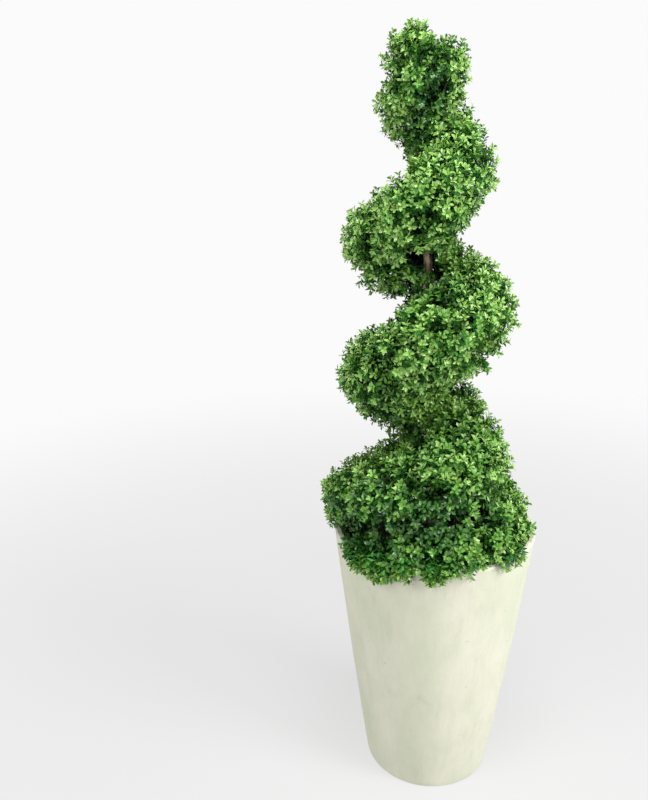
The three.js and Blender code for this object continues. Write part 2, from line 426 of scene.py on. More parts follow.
# %% The soil's material and shape
SOIL_RINGS = 46
SOIL_WALL_RINGS = 12
SOIL_SIDES = 120
SOIL_MOUND = 0.006
SOIL_LUMPS = 0.0028
SOIL_GAP = 0.001
SOIL_WAVES = 45
SOIL_FRACTAL = (0.9, 2.1, 4)

soil_low, soil_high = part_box("soil")


def soil_material():
    """Dark moist soil, blotched from near black to brown."""
    material, tree, shader = blank_material("potting_soil")
    blotches = pattern(tree, 60, detail=5, roughness=0.65)
    colour = ramp(tree, blotches, [(0.32, (0.012, 0.009, 0.006)), (0.7, (0.055, 0.038, 0.025))])
    tree.links.new(colour, shader.inputs["Base Color"])
    shader.inputs["Roughness"].default_value = 0.95
    crumbs = pattern(tree, 320, detail=4, roughness=0.7)
    tree.links.new(bump(tree, crumbs, 0.002), shader.inputs["Normal"])
    return material


def soil_top(x, y):
    """The height of the soil's surface."""
    share = math.hypot(x, y) / soil_high.x
    lumps = noise.fractal(Vector((x, y, 0)) * SOIL_WAVES, *SOIL_FRACTAL)
    return soil_high.z - SOIL_MOUND * share**2 + SOIL_LUMPS * lumps * (1 - share**8)


def soil_rings():
    """The soil's rings, from the middle of its underside to the middle of its top."""
    circle = [(math.cos(a), math.sin(a)) for a in angles_round(SOIL_SIDES)]
    rings = [(0, 0, soil_low.z)]
    for z in np.linspace(soil_low.z, soil_high.z - SOIL_MOUND, SOIL_WALL_RINGS):
        radius = planter_radius(z) - WALL - SOIL_GAP
        rings.append([(radius * c, radius * s, z) for c, s in circle])
    edge = planter_radius(soil_high.z) - WALL - SOIL_GAP
    for share in np.linspace(1, 0, SOIL_RINGS, endpoint=False):
        radius = edge * share
        rings.append([(radius * c, radius * s, soil_top(radius * c, radius * s)) for c, s in circle])
    return [*rings, (0, 0, soil_top(0, 0))]


soil = mesh_object("soil_fill", *turned(soil_rings()), soil_material())
keep_piece(soil, ["soil"])

# %% [markdown]
# ## The trunk
#
# The trunk is a slim brown pole with its bark on, which leans a little and carries knots where side shoots
# were cut. The imported node gives its centre and radius at each height. The new skin follows those in fine
# steps and adds the bark: long ridges, pores and knots, all as real relief.

# %% The trunk's material
# the bark's tan and dark are paler than real bark, as painted light: the trunk stands in the crown's shade
BARK_TAN_WITH_PAINTED_LIGHT = (0.88, 0.67, 0.48)
BARK_DARK_WITH_PAINTED_LIGHT = (0.36, 0.235, 0.155)
BARK_RED = (0.36, 0.18, 0.11)


def bark_material(name, scale=1.0, tan=BARK_TAN_WITH_PAINTED_LIGHT, dark=BARK_DARK_WITH_PAINTED_LIGHT):
    """Brown bark with darker grain drawn out upwards and a few reddish spots."""
    material, tree, shader = blank_material(name)
    grain = pattern(tree, 330 * scale, stretch=(1, 1, 9), detail=4, roughness=0.6)
    spots = pattern(tree, 90 * scale, detail=2)
    colour = ramp(tree, grain, [(0.36, dark), (0.56, tan)])
    knots = ramp(tree, spots, [(0.60, 0.0), (0.68, 1.0)])
    colour = blend_colours(tree, knots, colour, BARK_RED)
    tree.links.new(colour, shader.inputs["Base Color"])
    shader.inputs["Roughness"].default_value = 0.7
    tree.links.new(bump(tree, grain, 0.0006), shader.inputs["Normal"])
    return material


# %% The trunk's shape
TRUNK_SIDES = 36
TRUNK_STEPS = 380
TIP_CAP = 0.002
KNOTS = 13
KNOT_TURN = 2.4
KNOT_SIZE = 0.011
KNOT_REACH = 3 * KNOT_SIZE
KNOT_WIDTH = 0.8
KNOT_RISE = 0.30
KNOT_DENT = 0.16
RIDGE = 0.055
BARK_WAVES = ((3.4, 26, 1.6), (9, 160, 0.8))  # ridges, pores: waves round the trunk and up it, share
KNOT_FADING = 2
DENT_FADING = 16

trunk_levels = heights_of("trunk")
level_z = np.array([z for z, _ in trunk_levels])
level_centre = np.array([points.mean(0) for _, points in trunk_levels])
level_radius = np.array([np.hypot(*(points - points.mean(0)).T).max() for _, points in trunk_levels])
trunk_foot, trunk_tip = level_z[0], level_z[-1]


def trunk_at(z):
    """The trunk's centre at a height."""
    x, y = (np.interp(z, level_z, level_centre[:, k]) for k in (0, 1))
    return np.array((x, y, z))


def trunk_girth(z):
    """The trunk's radius at a height."""
    return float(np.interp(z, level_z, level_radius))


knot_shares = [(k + 0.5) / KNOTS for k in range(KNOTS)]
knot_places = [(trunk_foot + (trunk_tip - trunk_foot) * s, KNOT_TURN * k) for k, s in enumerate(knot_shares)]


def bark_relief(angle, z):
    """The bark's relief as a share of the trunk's radius."""
    c, s = math.cos(angle), math.sin(angle)
    relief = 0
    for around, up, share in BARK_WAVES:
        relief += share * noise.noise(Vector((c * around, s * around, z * up)))
    relief *= RIDGE
    for knot_z, knot_angle in knot_places:
        if abs(z - knot_z) < KNOT_REACH:
            turn = math.remainder(angle - knot_angle, 2 * math.pi)
            away = math.hypot((z - knot_z) / KNOT_SIZE, turn / KNOT_WIDTH)
            knot, dent = (math.exp(-(away**2) * fading) for fading in (KNOT_FADING, DENT_FADING))
            relief += KNOT_RISE * knot - KNOT_DENT * dent
    return relief


def trunk_rings():
    """The trunk's rings, from its flat foot to its tip."""
    rings = [tuple(trunk_at(trunk_foot))]
    for z in np.linspace(trunk_foot, trunk_tip, TRUNK_STEPS):
        centre, girth = trunk_at(z), trunk_girth(z)
        ring = []
        for angle in angles_round(TRUNK_SIDES):
            radius = girth * (1 + bark_relief(angle, z))
            ring.append((centre[0] + radius * math.cos(angle), centre[1] + radius * math.sin(angle), z))
        rings.append(ring)
    return [*rings, tuple(trunk_at(trunk_tip) + (0, 0, TIP_CAP))]


trunk = mesh_object("trunk_bark", *turned(trunk_rings()), bark_material("trunk_bark"))
keep_piece(trunk, ["trunk"])

# %% [markdown]
# ## Geometry Nodes, built in the script
#
# The next steps repeat small things thousands of times, which is what Geometry Nodes are for. A tree is
# made with named inputs, a modifier runs it on a mesh, and the result is kept as a plain mesh.

# %% Helpers for Geometry Nodes
def new_tree(name, inputs):
    """A Geometry Nodes tree with a mesh input and named inputs, each a socket type and a default."""
    tree = bpy.data.node_groups.new(name, "GeometryNodeTree")
    tree.interface.new_socket("Mesh", in_out="INPUT", socket_type="NodeSocketGeometry")
    for label, (kind, default) in inputs.items():
        socket = tree.interface.new_socket(label, in_out="INPUT", socket_type="NodeSocket" + kind)
        if default is not None:
            socket.default_value = default
    tree.interface.new_socket("Mesh", in_out="OUTPUT", socket_type="NodeSocketGeometry")
    return tree, tree.nodes.new("NodeGroupInput").outputs


def end_tree(tree, geometry, material=None):
    """Realizes the instances, sets the material and ends the tree."""
    if material is not None:
        geometry = add_node(tree, "GeometryNodeRealizeInstances", {"Geometry": geometry}).outputs[0]
        sockets = {"Geometry": geometry, "Material": material}
        geometry = add_node(tree, "GeometryNodeSetMaterial", sockets).outputs[0]
    tree.links.new(geometry, tree.nodes.new("NodeGroupOutput").inputs["Mesh"])


def named(tree, name, kind="FLOAT"):
    """A named attribute of the mesh that the tree runs on."""
    return add_node(tree, "GeometryNodeInputNamedAttribute", {"Name": name}, data_type=kind).outputs[0]


def grow_with(tree, mesh, name, values):
    """Runs the tree on a mesh, and keeps what comes out as a plain mesh in an object of that name."""
    holder = bpy.data.objects.new(name, mesh)
    modifier = holder.modifiers.new("grow", "NODES")
    modifier.node_group = tree
    sockets = {s.name: s.identifier for s in tree.interface.items_tree if s.in_out == "INPUT"}
    for label, value in values.items():
        modifier[sockets[label]] = value
    scene.collection.objects.link(holder)
    graph = bpy.context.evaluated_depsgraph_get()
    result = bpy.data.meshes.new_from_object(holder.evaluated_get(graph))
    holder.modifiers.remove(modifier)
    holder.data = result
    return holder


def points_mesh(name, points, attributes, edges=()):
    """A mesh of loose points, or of lines where edges are given, with an attribute value for each point."""
    mesh = bpy.data.meshes.new(name)
    mesh.from_pydata([tuple(p) for p in points], [tuple(e) for e in edges], [])
    for label, values in attributes.items():
        values = np.asarray(values)
        kind = "FLOAT_VECTOR" if values.ndim == 2 else "INT" if values.dtype.kind == "i" else "FLOAT"
        attribute = mesh.attributes.new(label, kind, "POINT")
        attribute.data.foreach_set("vector" if values.ndim == 2 else "value", values.ravel())
    return mesh


# %% [markdown]
# ## The crown's skin and the seats of the sprays
#
# The imported masses say where the crown ends. Copies of them and of the trunk are joined into one skin, and
# a voxel remesh closes the hairline gaps between them. The skin is never shown: it only carries the seats,
# which are the places where sprays of leaves end. A Poisson spread keeps seats a set distance apart. Three
# layers are spread, and the deeper ones are sparser and painted darker, as painted shade.

# %% The crown's skin
SKIN_VOXEL = 0.007
SKIN_WELD = 0.00002
SKIN_SMOOTHING = 6


def crown_skin():
    """One closed skin over all the foliage masses and the trunk."""
    verts, faces = [], []
    for name in [*masses, "trunk"]:
        mesh = frame["nodes"][name].data
        first = len(verts)
        verts += [tuple(v.co) for v in mesh.vertices]
        faces += [[first + i for i in polygon.vertices] for polygon in mesh.polygons]
    skin = mesh_object("crown_skin", verts, faces)
    weld = skin.modifiers.new("weld", "WELD")
    weld.merge_threshold = SKIN_WELD
    remesh = skin.modifiers.new("remesh", "REMESH")
    remesh.mode = "VOXEL"
    remesh.voxel_size = SKIN_VOXEL
    smooth = skin.modifiers.new("smooth", "SMOOTH")
    smooth.iterations = SKIN_SMOOTHING
    graph = bpy.context.evaluated_depsgraph_get()
    result = bpy.data.meshes.new_from_object(skin.evaluated_get(graph))
    bpy.data.objects.remove(skin)
    return result


skin = crown_skin()
print("skin faces:", len(skin.polygons))

# %% The seats
DENSEST = 40000.0
# A layer's tone is painted light and shade: the outer layer is dealt a little paler, the deeper ones darker, as
# painted shade.
LAYERS = [
    {"spacing": 0.0136, "depth": 0.003, "spread": 0.009, "strays": 0.06, "tilt": 0.32, "tone_and_painted_light": 0.20},
    {"spacing": 0.0152, "depth": 0.021, "spread": 0.005, "strays": 0.0, "tilt": 0.40, "tone_and_painted_light": -0.55},
    {"spacing": 0.0190, "depth": 0.042, "spread": 0.006, "strays": 0.0, "tilt": 0.50, "tone_and_painted_light": -1.4},
]

seat_tree, seat_inputs = new_tree("seats", {"Spacing": ("Float", 0.02), "Seed": ("Int", SEED)})
sockets = {"Mesh": seat_inputs["Mesh"], "Distance Min": seat_inputs["Spacing"], "Density Max": DENSEST}
sockets["Seed"] = seat_inputs["Seed"]
spread = add_node(seat_tree, "GeometryNodeDistributePointsOnFaces", sockets, distribute_method="POISSON")
sockets = {"Geometry": spread.outputs["Points"], "Name": "outward", "Value": spread.outputs["Normal"]}
kept = add_node(seat_tree, "GeometryNodeStoreNamedAttribute", sockets, data_type="FLOAT_VECTOR")
corners = add_node(seat_tree, "GeometryNodePointsToVertices", {"Points": kept.outputs[0]})
end_tree(seat_tree, corners.outputs[0])


def seats_on(mesh, spacing, seed):
    """Places spread over a mesh at that spacing, and the outward direction at each."""
    holder = grow_with(seat_tree, mesh.copy(), "seats", {"Spacing": spacing, "Seed": seed})
    count = len(holder.data.vertices)
    places, outward = np.zeros(count * 3), np.zeros(count * 3)
    holder.data.vertices.foreach_get("co", places)
    holder.data.attributes["outward"].data.foreach_get("vector", outward)
    bpy.data.objects.remove(holder)
    return places.reshape(-1, 3), outward.reshape(-1, 3)


layer_seats = [seats_on(skin, facts["spacing"], SEED + k) for k, facts in enumerate(LAYERS)]
print("seats by layer:", [len(places) for places, _ in layer_seats])

# %% [markdown]
# ## Where sprays may grow
#
# A seat is struck out where nothing grows: before the short bare stretch of trunk, on the bare stretch of
# rim and inside the planter. Undersides and a few loose places keep only a share of theirs. Directions are
# bearings in degrees: 0 to the front, 90 to the right and -90 to the left. Lengths are in metres.

# %% Bearings round the trunk
rng = np.random.default_rng(SEED)  # for the sprays, the limbs and the shades, drawn in the order of the cells


def unit(vectors):
    """Vectors scaled to length 1."""
    return vectors / np.linalg.norm(vectors, axis=-1, keepdims=True)


def from_trunk(points):
    """The level vector from the trunk's centre line to each point, and its length."""
    away = points[:, :2] - np.array([trunk_at(z)[:2] for z in points[:, 2]])
    return away, np.hypot(*away.T)


def bearing(across):
    """The bearing of level vectors."""
    return np.degrees(np.arctan2(across[:, 0], -across[:, 1]))


def apart(bearings, middle):
    """How far bearings lie from a middle one, to either side."""
    return (bearings - middle + 180) % 360 - 180


# %% Bare and thin places
BARE_TRUNK = {"middle": -12, "half": 46, "low": 1.162, "high": 1.200, "near": 0.085}
BARE_RIM = {"from": -84, "to": -58, "below": 0.030, "beyond": 0.185}
THIN_PLACES = [
    {"from": 8, "to": 120, "low": 1.440, "high": 1.610, "kept": 0.60},
    {"from": -150, "to": -95, "low": 1.080, "high": 1.150, "kept": 0.60},
    {"from": 45, "to": 125, "low": 0.890, "high": 0.985, "kept": 0.50},
]
UNDERSIDE = -0.25
UNDERSIDE_KEPT = 0.8
IN_PLANTER = 0.012


def on_bare_trunk(points):
    """True in front of the short stretch of trunk that no leaf covers."""
    away, distance = from_trunk(points)
    facing = np.abs(apart(bearing(away), BARE_TRUNK["middle"])) < BARE_TRUNK["half"]
    beside = (points[:, 2] > BARE_TRUNK["low"]) & (points[:, 2] < BARE_TRUNK["high"])
    return facing & beside & (distance < BARE_TRUNK["near"])


def on_bare_rim(points):
    """True where the planter's rim is left uncovered."""
    turn, radius = bearing(points), np.hypot(points[:, 0], points[:, 1])
    beside = (turn > BARE_RIM["from"]) & (turn < BARE_RIM["to"])
    return beside & (points[:, 2] < rim + BARE_RIM["below"]) & (radius > BARE_RIM["beyond"])


def thinned(points, share):
    """The share of sprays that is kept at each point, after the thin places in the crown."""
    turn = bearing(from_trunk(points)[0])
    for thin in THIN_PLACES:
        inside = (turn > thin["from"]) & (turn < thin["to"])
        inside &= (points[:, 2] > thin["low"]) & (points[:, 2] < thin["high"])
        share = np.where(inside, share * thin["kept"], share)
    return share


def grows_here(places, outward):
    """True where a spray can sit: not on bare trunk or rim, not in the planter, and thinner on undersides."""
    radius = np.hypot(places[:, 0], places[:, 1])
    in_planter = (places[:, 2] < rim - IN_PLANTER) & (radius < planter_radius(rim) - 0.5 * WALL)
    share = thinned(places, np.where(outward[:, 2] < UNDERSIDE, UNDERSIDE_KEPT, 1.0))
    bare = on_bare_trunk(places) | on_bare_rim(places) | in_planter
    return ~bare & (rng.random(len(places)) < share)


# %% [markdown]
# ## The last clipping
#
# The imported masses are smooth, but shears leave small bulges and hollows. Each row below names a place by
# its bearing, half its width in degrees, its height, half its span and its reach, which is how far from the
# trunk it still holds. The seats there move outwards, upwards and to the left, less towards its edges.

# %% The clipping
CLIPPING = [  # bearing, half, height, span, reach; outwards, upwards, leftwards
    (81, 65, 0.600, 0.080, 1.0, -0.011, 0.0, 0.0),
    (81, 60, 0.780, 0.130, 1.0, -0.010, 0.0, 0.0),
    (81, 50, 1.275, 0.045, 1.0, -0.014, 0.0, 0.0),
    (81, 50, 1.175, 0.030, 1.0, -0.006, 0.0, 0.0),
    (81, 60, 1.530, 0.045, 1.0, -0.008, 0.0, 0.0),
    (0, 70, 0.655, 0.040, 0.15, 0.035, 0.0, 0.0),
    (-15, 60, 0.712, 0.038, 1.0, 0.014, 0.0, 0.0),
    (-98, 60, 1.540, 0.050, 1.0, -0.004, 0.0, 0.0),
    (-98, 60, 1.450, 0.035, 1.0, 0.010, 0.0, 0.0),
    (-98, 60, 1.320, 0.050, 1.0, -0.016, 0.0, 0.0),
    (-98, 50, 1.155, 0.025, 1.0, -0.008, 0.0, 0.0),
    (-98, 50, 1.120, 0.026, 1.0, 0.026, -0.006, 0.0),
    (-98, 50, 0.855, 0.025, 1.0, -0.008, 0.0, 0.0),
    (-98, 50, 0.740, 0.045, 1.0, -0.026, 0.0, 0.0),
    (-150, 50, 0.735, 0.050, 0.17, 0.0, 0.045, 0.0),
    (0, 400, 1.660, 0.085, 1.0, 0.0, 0.0, 0.020),
]


def nearness(points, middle, half, height, span, reach):
    """1 in the middle of a place, fading to 0 at its half width, its span and its reach."""
    away, distance = from_trunk(points)
    around = apart(bearing(away), middle) / half
    along = (points[:, 2] - height) / span
    shares = [np.clip(1 - offset**4, 0, 1) for offset in (around, along, distance / reach)]
    return np.prod(shares, axis=0)


def clipped(places):
    """The seats after the clipping."""
    away, distance = from_trunk(places)
    out = np.column_stack([away / np.maximum(distance, 0.001)[:, None], np.zeros(len(places))])
    moved = places.copy()
    for *where, outward, upward, leftward in CLIPPING:
        moved += nearness(places, *where)[:, None] * (outward * out + (-leftward, 0, upward))
    return moved


# %% [markdown]
# ## The light on each seat
#
# Leaves grow thick where light reaches and sparse in the clefts of the coil, where they are also painted
# darker, as painted shade. A fan of rays is sent out from each seat against the skin. The share that gets away
# stands for the light there.

# %% The light
RAYS = 16
RAY_SPREAD = 0.6
RAY_LIFT = (0, 0, 0.3)
RAY_START = 0.012
LIGHT_REACH = 0.25

sky_fan = rng.normal(0, RAY_SPREAD, (RAYS, 3))
shell = BVHTree.FromPolygons([v.co for v in skin.vertices], [tuple(p.vertices) for p in skin.polygons])


def light_on(places, outward):
    """The share of rays, fanned about the outward direction and upwards, that leave each place freely."""
    free = []
    for place, out in zip(places, outward):
        start = Vector(place + RAY_START * out)
        rays = out + RAY_LIFT + sky_fan
        free.append(sum(shell.ray_cast(start, Vector(ray), LIGHT_REACH)[0] is None for ray in rays) / RAYS)
    return np.array(free)


# %% [markdown]
# ## From seats to sprays
#
# A spray is a leafy stem end. Its tip lies near its seat, a little proud of the skin or sunk below it, and
# it points outwards, turned somewhat to the light above. The tips swell into clumps with hollows between
# them. Further layers lie deeper, in the shade of the first. Above the skirt, a few strays stand clear of
# the clipped surface. A fringe hangs over the planter's rim, and a tuft ends the trunk.

# %% The sprays
STEM = 0.045
CLEAR_OF_TRUNK = 0.040
BESIDE_TRUNK = 0.085
DIM = 0.45
DIM_KEPT = 0.66
CLUMP = 0.012
CLUMPS_PER_METRE = 20
HOLLOW = -0.25
PROUD_AT_MOST = 0.007
LEAST_SUNK = 1.5
MOST_SUNK = 2.5
STRAYS_ABOVE = 0.72
STRAY_REACH = (0.006, 0.016)
TO_LIGHT = {"level": 0.22, "steeper": 0.2, "least": 0.05, "most": 0.4}
INSET = 0.0045


def sunk_below(places, clumps, facts):
    """How deep the tips lie below their seats."""
    count, depth, spread = len(places), facts["depth"], facts["spread"]
    sunk = rng.normal(depth, spread, count)
    sunk = np.clip(sunk, depth - LEAST_SUNK * spread, depth + MOST_SUNK * spread) - CLUMP * clumps
    sunk = np.maximum(sunk, -PROUD_AT_MOST)
    proud = (rng.random(count) < facts["strays"]) & (places[:, 2] > STRAYS_ABOVE)
    sunk = np.where(proud, -rng.uniform(*STRAY_REACH, count), sunk)
    room = np.minimum(sunk, from_trunk(places)[1] - CLEAR_OF_TRUNK)
    return np.where(places[:, 2] < trunk_tip, room, sunk)


def sprays_from(seats, facts):
    """Tips and directions of a layer's sprays, and the light on them. Dim places and hollows stay open."""
    seats = clipped(seats[0]), seats[1]
    here = grows_here(*seats)
    clumps = np.array([noise.noise(Vector(p) * CLUMPS_PER_METRE) for p in seats[0]])
    light = light_on(*seats)
    if facts["strays"] > 0:
        dim = (light < DIM) & (from_trunk(seats[0])[1] >= BESIDE_TRUNK)
        here &= (clumps > HOLLOW) & (~dim | (rng.random(len(dim)) < DIM_KEPT))
    places, outward, clumps, light = seats[0][here], seats[1][here], clumps[here], light[here]
    sunk = sunk_below(places, clumps, facts)
    upwards = TO_LIGHT["level"] + TO_LIGHT["steeper"] * outward[:, 2:]
    lift = np.array((0, 0, 1)) * np.clip(upwards, TO_LIGHT["least"], TO_LIGHT["most"])
    aims = unit(outward + lift + rng.normal(0, facts["tilt"], (len(places), 3)))
    tips = places - outward * sunk[:, None]
    low, high = (np.array(corner[:2]) for corner in cad_box)
    tips[:, :2] = np.clip(tips[:, :2], low + INSET, high - INSET)
    return tips, aims, light


# %% Over the rim
NEAR_RIM = 0.010
RIM_PASS = 0.014
RIM_STEP = 0.034
SMALLEST_RADIUS = 0.05


def over_the_rim(tips, aims):
    """Turns the stems of low sprays so that they come over the planter's rim and not through its wall."""
    feet = tips - aims * STEM
    radius = np.hypot(tips[:, 0], tips[:, 1])
    low = (feet[:, 2] < rim + NEAR_RIM) & (radius > planter_radius(rim) - WALL - NEAR_RIM)
    turned_feet = feet.copy()
    turned_feet[:, :2] = tips[:, :2] * (1 - RIM_STEP / np.maximum(radius, SMALLEST_RADIUS))[:, None]
    turned_feet[:, 2] = np.maximum(feet[:, 2], rim + RIM_PASS)
    return np.where(low[:, None], unit(tips - turned_feet), aims)


# %% The fringe over the rim
# How far the fringe hangs below the rim, in millimetres, by its bearing
HANG_MM = {-180: 4, -110: 3, -90: 3, -80: 0, -66: 0, -59: 26, -54: 38, -38: 50, -26: 24, -10: 30, 5: 17,
           10: 0, 28: 0, 33: 22, 40: 14, 46: 0, 160: 0, 180: 4}
FRINGE_TRIES = 900
FRINGE_REACH = 0.05
FRINGE_POWER = 0.8
FRINGE_RISE = 0.006
FRINGE_CLEAR = (0.006, 0.013)
FRINGE_OUT = 0.32
FRINGE_WOBBLE = (0.30, 0.30, 0.10)
FRINGE_LIGHT = 0.95
CROSSING_INSET = 0.012
CROSSING_RISE = (0.010, 0.018)


def fringe():
    """Tips and directions of sprays that hang over the rim, and the points where their stems cross it."""
    turn = rng.uniform(-180, 180, FRINGE_TRIES)
    hang = np.interp(turn, list(HANG_MM), [mm / 1000 for mm in HANG_MM.values()])
    kept = rng.random(FRINGE_TRIES) < hang / FRINGE_REACH
    turn, hang = np.radians(turn[kept]), hang[kept]
    out = np.column_stack([np.sin(turn), -np.cos(turn), np.zeros(len(turn))])
    drop = hang * rng.uniform(0, 1, len(turn)) ** FRINGE_POWER - FRINGE_RISE
    reach = planter_radius(rim) + rng.uniform(*FRINGE_CLEAR, len(turn))
    tips = out * reach[:, None]
    tips[:, 2] = rim - drop
    aims = unit(FRINGE_OUT * out + (0, 0, -1.0) + rng.normal(0, FRINGE_WOBBLE, out.shape))
    crossings = out * (planter_radius(rim) - CROSSING_INSET)
    crossings[:, 2] = rim + rng.uniform(*CROSSING_RISE, len(turn))
    return tips, aims, crossings


# %% The tuft at the trunk's top
LEADER_SPRAYS = 16
LEADER_RING = 0.016
LEADER_RISE = (0.004, 0.016)
LEADER_OUT = 0.5
LEADER_WOBBLE = 0.15
GOLDEN_ANGLE = math.pi * (3 - math.sqrt(5))


def leader():
    """Tips and directions of the sprays round the top of the trunk, and the points where they leave it."""
    steps = np.arange(LEADER_SPRAYS)
    turn = steps * GOLDEN_ANGLE
    out = np.column_stack([np.cos(turn), np.sin(turn), np.zeros(LEADER_SPRAYS)])
    ring = LEADER_RING * np.sqrt((steps + 0.5) / LEADER_SPRAYS)
    rise = rng.uniform(*LEADER_RISE, (LEADER_SPRAYS, 1)) * (0, 0, 1)
    tips = trunk_at(trunk_tip) + out * ring[:, None] + rise
    outwards = out * ring[:, None] / LEADER_RING * LEADER_OUT
    aims = unit(outwards + (0, 0, 1) + rng.normal(0, LEADER_WOBBLE, tips.shape))
    return tips, aims, tips - aims * STEM


# %% All the sprays
TRUNK_ZONE = 0.075
TRUNK_SPACING = 0.011

extra = seats_on(skin, TRUNK_SPACING, SEED + len(LAYERS))
beside = from_trunk(extra[0])[1] < TRUNK_ZONE
layer_seats[0] = tuple(np.vstack([seats, more[beside]]) for seats, more in zip(layer_seats[0], extra))
layers = [sprays_from(seats, facts) for seats, facts in zip(layer_seats, LAYERS)]
tips = np.vstack([layer[0] for layer in layers])
aims = over_the_rim(tips, np.vstack([layer[1] for layer in layers]))
leader_tips, leader_aims, leader_roots = leader()
fringe_tips, fringe_aims, crossings = fringe()
roots = np.vstack([tips - aims * STEM, leader_roots, crossings])
tips = np.vstack([tips, leader_tips, fringe_tips])
aims = np.vstack([aims, leader_aims, fringe_aims])
outermost = len(leader_tips) + len(fringe_tips)
layer_of = np.repeat([0, 1, 2, 0], [*(len(layer[0]) for layer in layers), outermost])
light = np.concatenate([*(layer[2] for layer in layers), np.full(outermost, FRINGE_LIGHT)])
in_fringe = np.arange(len(tips)) >= len(tips) - len(fringe_tips)
print("sprays by layer:", np.bincount(layer_of), "of them in the fringe:", len(fringe_tips))

# %% [markdown]
# ## Boughs, branches and twigs
#
# Limbs are grown by a rule. Each quarter turn of the coil is fed by a few boughs out of the trunk. A limb
# heads for the middle of the sprays that it feeds and forks in two, again and again, until each twig carries
# a handful. A limb's thickness follows the number of sprays beyond it, as in real trees.

# %% The branching rule
BOUGHS_PER_MASS = 3
SPRAYS_PER_TWIG = 5
FORK_SHARE = 0.46
TWIG_SHARE = 0.72
TWIG_GIRTH = 0.00055
GIRTH_POWER = 0.42
BOUGH_RISE = 0.35
BEND_FROM = 0.35
BEND_TO = 0.3
FORK_BETWEEN = (0.4, 0.6)
FORK_WOBBLE = 0.08
TWIG_WOBBLE = 0.02
END_GIRTH = 0.85
limbs = []


def girth_for(count):
    """A limb's radius, by the number of sprays that it feeds."""
    return TWIG_GIRTH * count**GIRTH_POWER


def limb_path(start, heading, end):
    """A limb's points: it leaves along the heading and bends smoothly to its end."""
    span = np.linalg.norm(end - start)
    first, second = start + heading * span * BEND_FROM, end - (end - start) * BEND_TO
    shares = np.linspace(0, 1, 4)[:, None]
    rest = 1 - shares
    return rest**3 * start + 3 * rest**2 * shares * first + 3 * rest * shares**2 * second + shares**3 * end


def in_two(points):
    """The points' numbers in two groups, either side of a plane across their widest spread."""
    centred = points - points.mean(0)
    widest = np.linalg.svd(centred, full_matrices=False)[2][0]
    order = np.argsort(centred @ widest)
    middle = int(round(len(order) * rng.uniform(*FORK_BETWEEN)))
    return order[:middle], order[middle:]


def grow(start, heading, girth, members):
    """Grows a limb towards its member sprays, and forks it until it carries only a few."""
    target = roots[members].mean(0)
    last = len(members) <= SPRAYS_PER_TWIG
    share = TWIG_SHARE if last else FORK_SHARE
    reach = target - start
    wobble = rng.normal(0, TWIG_WOBBLE if last else FORK_WOBBLE, 3) * np.linalg.norm(reach)
    end = start + reach * share + wobble * share
    path = limb_path(start, heading, end)
    end_girth = girth_for(len(members)) * END_GIRTH
    limbs.append((path, np.linspace(girth, end_girth, len(path)), len(members)))
    onward = unit(path[-1] - path[-2])
    if last:
        return
    for part in in_two(roots[members]):
        grow(end, onward, girth_for(len(part)), members[part])


# %% Growing all the limbs
FOOT_CLEAR = 0.03
TIP_CLEAR = 0.01
BLOCK = 2000


def nearest_mass(points):
    """The number of the foliage mass whose corners lie nearest to each point."""
    best = np.full(len(points), np.inf)
    owner = np.zeros(len(points), int)
    for number, name in enumerate(masses):
        corners = np.array([v.co for v in frame["nodes"][name].data.vertices])
        corners = np.unique(corners.round(4), axis=0)
        for first in range(0, len(points), BLOCK):
            block = slice(first, first + BLOCK)
            distance = np.linalg.norm(points[block, None] - corners[None], axis=2).min(1)
            closer = distance < best[block]
            best[block] = np.where(closer, distance, best[block])
            owner[block] = np.where(closer, number, owner[block])
    return owner


owner = nearest_mass(roots)
for number, name in enumerate(masses):
    members = np.flatnonzero(owner == number)
    turns = np.arctan2(np.abs(roots[members, 1]), roots[members, 0])
    for group in np.array_split(members[np.argsort(turns)], BOUGHS_PER_MASS):
        middle = roots[group].mean(0)
        out = np.hypot(*(middle[:2] - trunk_at(middle[2])[:2]))
        height = np.clip(middle[2] - BOUGH_RISE * out, trunk_foot + FOOT_CLEAR, trunk_tip - TIP_CLEAR)
        start = trunk_at(height)
        grow(start, unit(middle - start), girth_for(len(group)), group)
print("limbs:", len(limbs))

# %% The tree that makes tubes
LUMPS_PER_METRE = 260.0

inputs = {"Sides": ("Int", 5), "Bark relief": ("Float", 0.0002), "Material": ("Material", None)}
limb_tree, limb_inputs = new_tree("limbs", inputs)
as_curve = add_node(limb_tree, "GeometryNodeMeshToCurve", {"Mesh": limb_inputs["Mesh"]})
sockets = {"Resolution": limb_inputs["Sides"], "Radius": 1.0}
ring = add_node(limb_tree, "GeometryNodeCurvePrimitiveCircle", sockets)
sockets = {"Curve": as_curve.outputs["Curve"], "Profile Curve": ring.outputs["Curve"]}
sockets |= {"Scale": named(limb_tree, "girth"), "Fill Caps": True}
tube = add_node(limb_tree, "GeometryNodeCurveToMesh", sockets)
lumps = add_node(limb_tree, "ShaderNodeTexNoise", {"Scale": LUMPS_PER_METRE, "Detail": 1.0})
sockets = {0: lumps.outputs["Color"], 1: (0.5, 0.5, 0.5)}
centred = add_node(limb_tree, "ShaderNodeVectorMath", sockets, operation="SUBTRACT")
sockets = {0: centred.outputs["Vector"], "Scale": limb_inputs["Bark relief"]}
offset = add_node(limb_tree, "ShaderNodeVectorMath", sockets, operation="SCALE")
sockets = {"Geometry": tube.outputs["Mesh"], "Offset": offset.outputs["Vector"]}
uneven = add_node(limb_tree, "GeometryNodeSetPosition", sockets)
rounded = add_node(limb_tree, "GeometryNodeSetShadeSmooth", {"Geometry": uneven.outputs[0]})
end_tree(limb_tree, rounded.outputs[0], limb_inputs["Material"])

# %% Stems for the sprays
STEM_GIRTH = 0.00072
STEM_AT_MOST = 0.040
STEM_BACK = 0.01
STEM_SAG = 0.08
HANGING = 0.6
HANGING_RISE = 0.006


